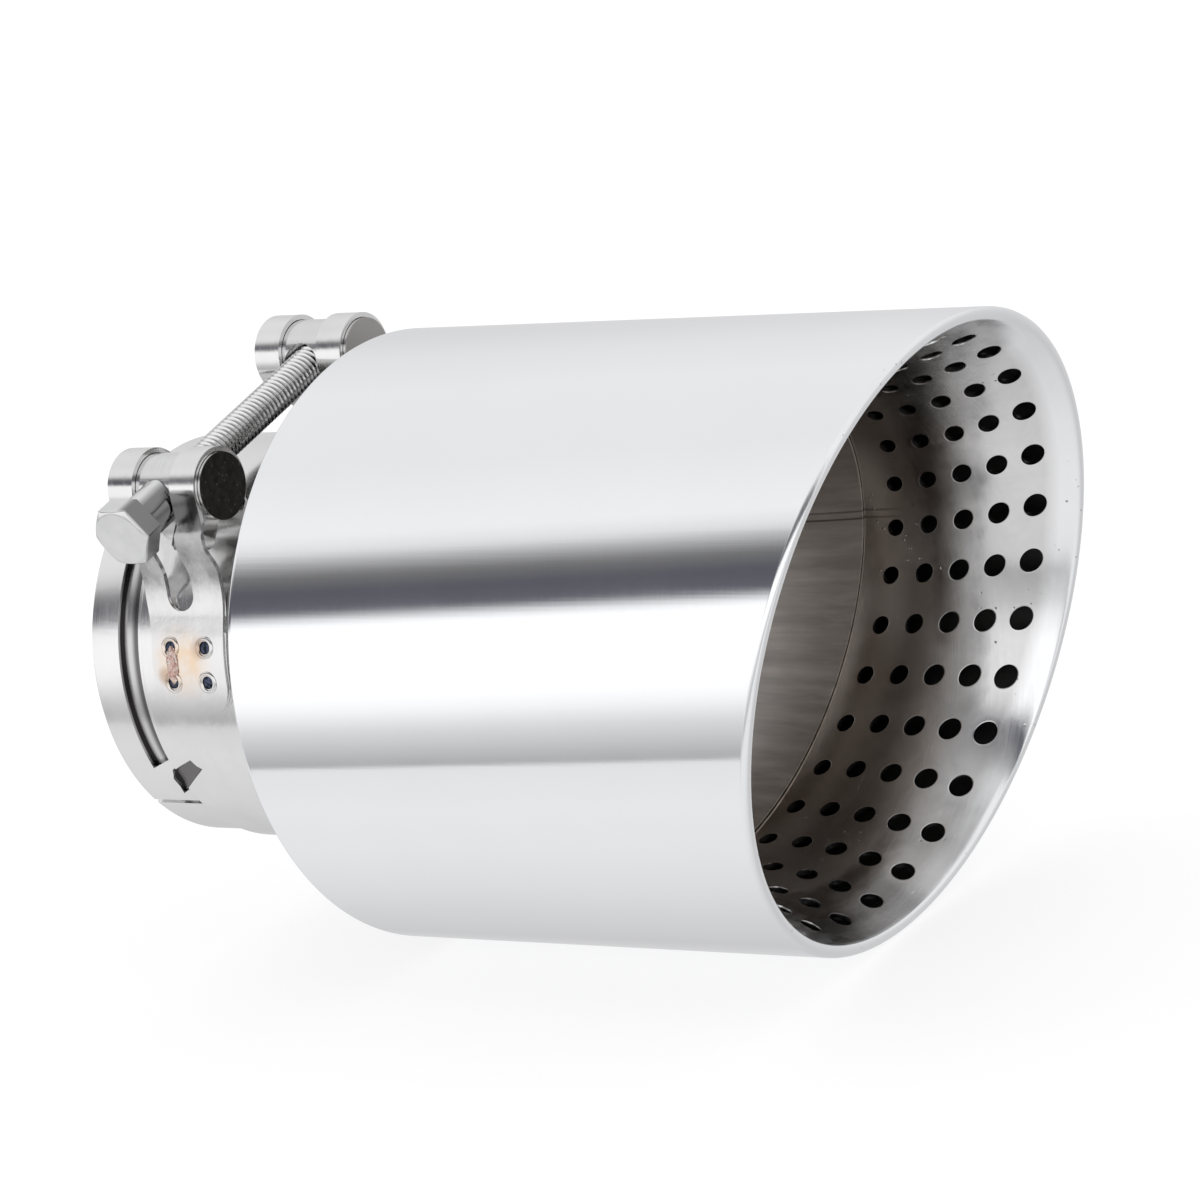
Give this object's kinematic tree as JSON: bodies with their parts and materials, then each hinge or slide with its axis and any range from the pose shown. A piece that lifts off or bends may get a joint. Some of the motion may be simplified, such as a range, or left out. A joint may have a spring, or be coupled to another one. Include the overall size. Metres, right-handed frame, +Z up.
{
  "type": "exhaust tip",
  "caption": "Slant-cut double-wall exhaust tip with a polished shell, a flared perforated liner and a slotted inlet collar closed by a bolted band clamp.",
  "frame": {"origin": "middle of the inlet collar's rear face, on the tube's axis", "axes": "+X along the tube to the outlet, +Z up towards the outlet's longest side, which is also where the clamp's gap is"},
  "size_m": [0.1597, 0.1016, 0.1016],
  "materials": {
    "polished_shell": "mirror-polished stainless steel",
    "liner": "brushed stainless steel with light grinding marks",
    "inlet": "satin stainless steel",
    "weld": "weld bead",
    "clamp_sheet": "bright stainless sheet, straw heat tint round the near welds",
    "trunnion": "turned steel with dark ends",
    "bolt": "zinc-plated steel"
  },
  "bodies": {
    "root": {"outer_shell": "polished_shell", "perforated_liner": "liner", "inlet_tube": "inlet", "rear_plate": "inlet", "collar_weld": "weld", "clamp_band": "clamp_sheet", "near_loop_strap": "clamp_sheet", "far_loop_strap": "clamp_sheet", "near_trunnion": "trunnion", "far_trunnion": "trunnion", "spacer_sleeve": "bolt", "clamp_bolt": "bolt"}
  },
  "joints": []
}
